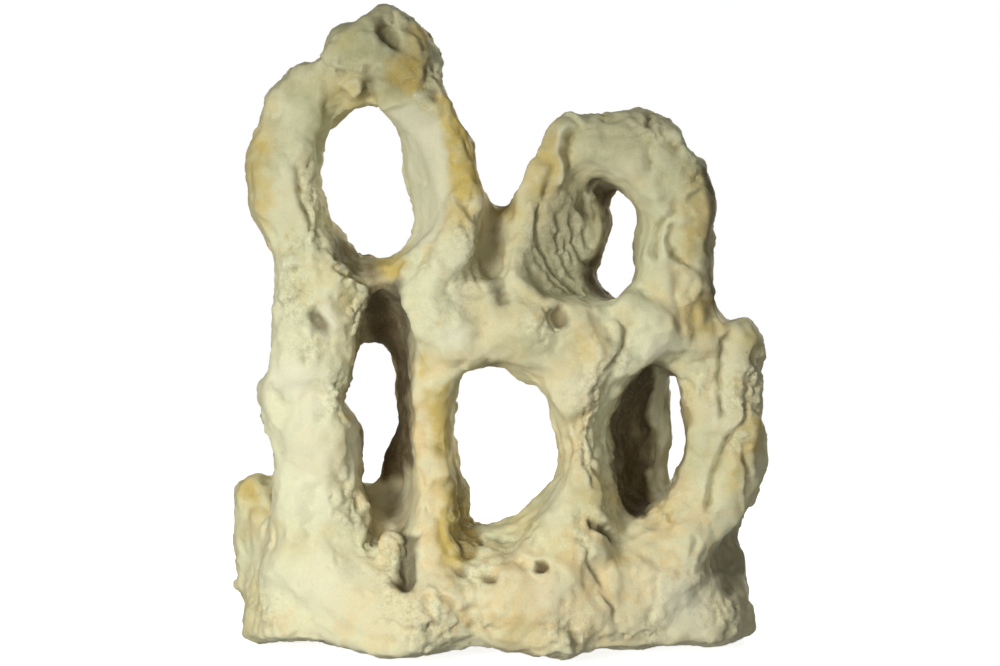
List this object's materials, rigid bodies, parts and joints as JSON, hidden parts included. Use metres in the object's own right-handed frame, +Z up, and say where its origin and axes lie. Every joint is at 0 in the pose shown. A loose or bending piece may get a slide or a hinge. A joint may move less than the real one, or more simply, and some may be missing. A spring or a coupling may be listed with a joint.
{
  "type": "holed sandstone rock",
  "caption": "Upright weathered sandstone rock, worn through by rounded holes with rough limbs between them, standing on a flat base; a natural ornament for a tank, terrarium or shelf.",
  "frame": {"origin": "on the flat underside, in the middle of the stone's width, on the plane through its thickness that the drawing is made on", "axes": "+Z up, the height; +X to the right as seen from the front; -Y towards the front, where the holes open widest"},
  "size_m": [0.2419, 0.1162, 0.287],
  "materials": {
    "sandstone": "matt, sandy"
  },
  "bodies": {
    "root": {"rock": "sandstone"}
  },
  "joints": []
}
